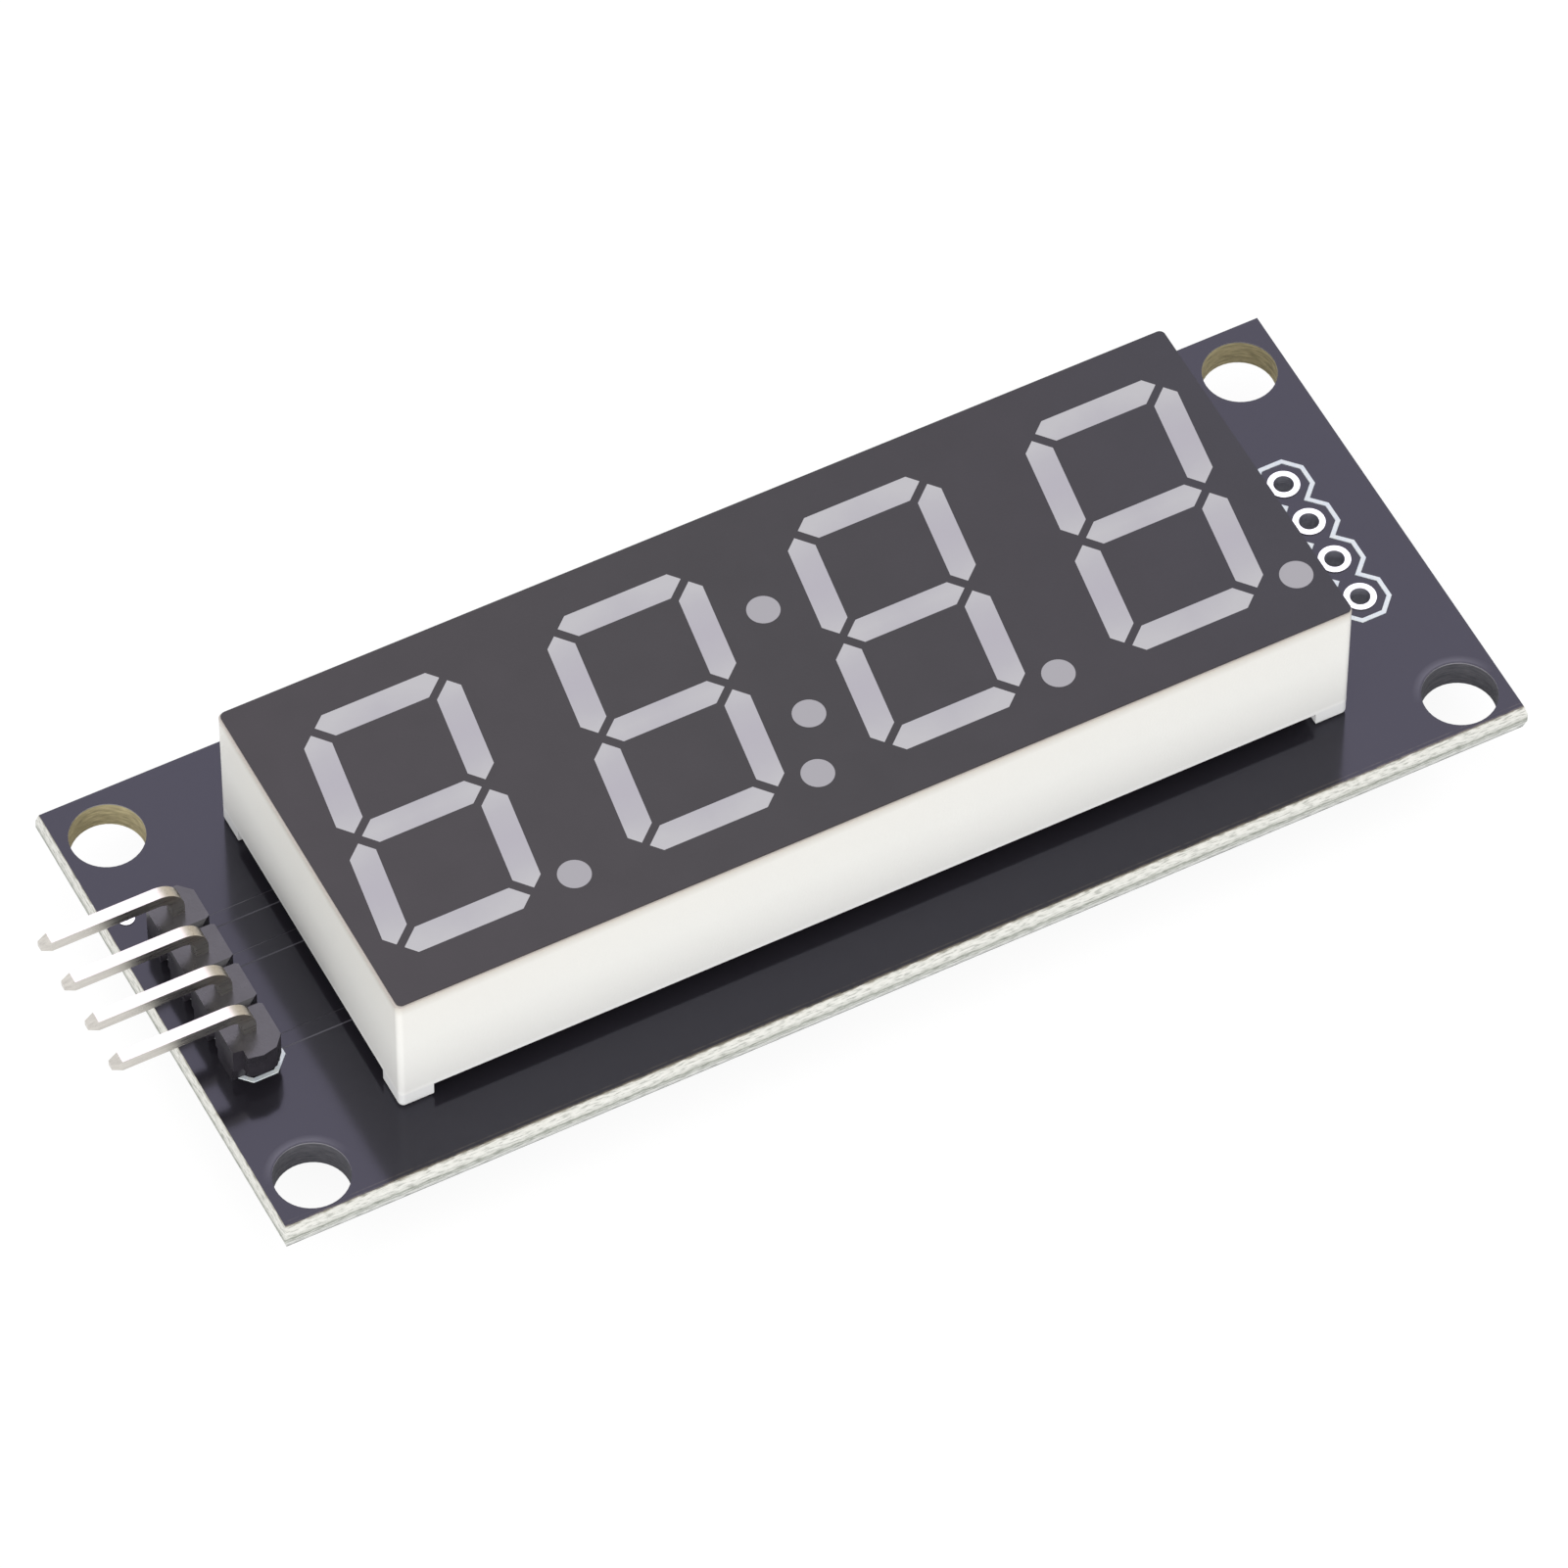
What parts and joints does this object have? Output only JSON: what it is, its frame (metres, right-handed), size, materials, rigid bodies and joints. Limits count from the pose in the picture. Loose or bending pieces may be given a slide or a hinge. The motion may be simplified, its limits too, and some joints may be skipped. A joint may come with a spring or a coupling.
{
  "type": "seven segment display module",
  "caption": "Potted numeric display on a small black circuit board, with corner mounting holes, a bent pin header at one end and open plated holes at the other.",
  "frame": {"origin": "centre of the four mounting holes, on the underside of the circuit board", "axes": "+X along the row of digits in reading order, away from the pin header; +Y towards the tops of the digits; +Z out of the display's face"},
  "size_m": [0.07, 0.0267, 0.0122],
  "materials": {
    "black_circuit_board": "glossy black solder mask over glass-epoxy laminate",
    "tinned_copper": "bright tin over copper",
    "white_moulding": "satin white moulding",
    "dark_ink": "satin printed ink",
    "diffused_epoxy": "milky grey cast epoxy",
    "bare_laminate": "bare glass-epoxy laminate",
    "led_crystal": "sawn crystal",
    "solder": "bright solder",
    "tinned_pin": "bright tin over steel",
    "black_header_plastic": "satin black moulding",
    "tinned_header_pin": "bright tin over brass",
    "black_chip_epoxy": "matt moulded epoxy",
    "tinned_lead": "satin tin over copper alloy",
    "capacitor_ceramic": "sintered ceramic with tinned ends",
    "resistor_ceramic": "glazed film on ceramic with tinned ends"
  },
  "bodies": {
    "root": {"capacitor_1": "capacitor_ceramic", "capacitor_2": "capacitor_ceramic", "capacitor_3": "capacitor_ceramic", "capacitor_4": "capacitor_ceramic", "circuit_board": "black_circuit_board", "display_chip_board": "bare_laminate", "display_epoxy": "diffused_epoxy", "display_face_ink": "dark_ink", "display_led_chips": "led_crystal", "display_pin_01": "tinned_pin", "display_pin_02": "tinned_pin", "display_pin_03": "tinned_pin", "display_pin_04": "tinned_pin", "display_pin_05": "tinned_pin", "display_pin_06": "tinned_pin", "display_pin_07": "tinned_pin", "display_pin_08": "tinned_pin", "display_pin_09": "tinned_pin", "display_pin_10": "tinned_pin", "display_pin_11": "tinned_pin", "display_pin_12": "tinned_pin", "display_pin_13": "tinned_pin", "display_pin_14": "tinned_pin", "display_pin_solder": "solder", "display_shell": "white_moulding", "driver_chip_body": "black_chip_epoxy", "driver_chip_leads": "tinned_lead", "end_plated_hole_1": "tinned_copper", "end_plated_hole_2": "tinned_copper", "end_plated_hole_3": "tinned_copper", "end_plated_hole_4": "tinned_copper", "header_base": "black_header_plastic", "header_pin_1": "tinned_header_pin", "header_pin_2": "tinned_header_pin", "header_pin_3": "tinned_header_pin", "header_pin_4": "tinned_header_pin", "header_pin_solder": "solder", "resistor_1": "resistor_ceramic", "resistor_2": "resistor_ceramic", "via": "tinned_copper"}
  },
  "joints": []
}
